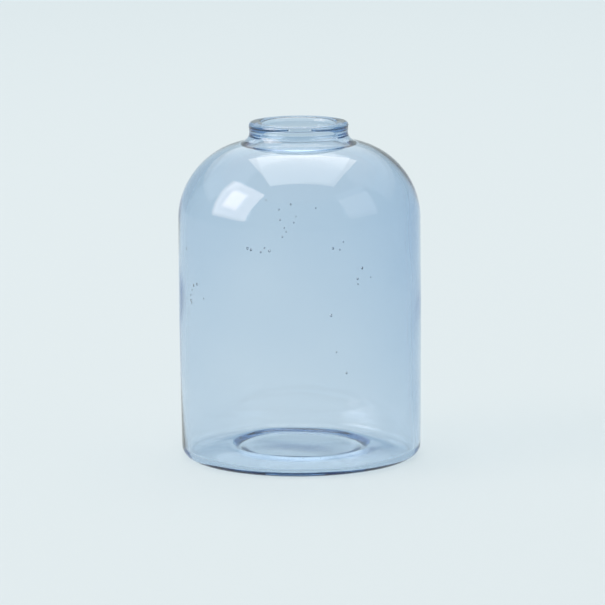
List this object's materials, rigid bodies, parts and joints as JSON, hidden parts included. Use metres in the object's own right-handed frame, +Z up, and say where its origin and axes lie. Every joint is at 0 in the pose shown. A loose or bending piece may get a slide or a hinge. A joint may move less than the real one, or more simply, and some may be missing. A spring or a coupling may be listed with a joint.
{
  "type": "bud vase",
  "caption": "Pale blue clear glass bud vase: straight round body, domed shoulder, short neck with a rolled lip, thin base with a soft ring inside and a hollow underneath.",
  "frame": {"origin": "centre of the foot, on the surface the vase stands on", "axes": "+Z up along the vase's axis of revolution, towards the mouth; X and Y are equivalent"},
  "size_m": [0.0864, 0.0864, 0.12],
  "materials": {
    "vase_glass": "fire-polished, clear, pale steel-blue tint with a few tiny gas bubbles",
    "base_glass": "fire-polished, clear, the same pale blue glass",
    "lip_glass": "fire-polished, clear, the same pale blue glass, thicker and so deeper in colour"
  },
  "bodies": {
    "root": {"base_disc": "base_glass", "body_wall": "vase_glass", "domed_shoulder": "vase_glass", "neck_collar": "vase_glass", "rolled_lip": "lip_glass"}
  },
  "joints": []
}
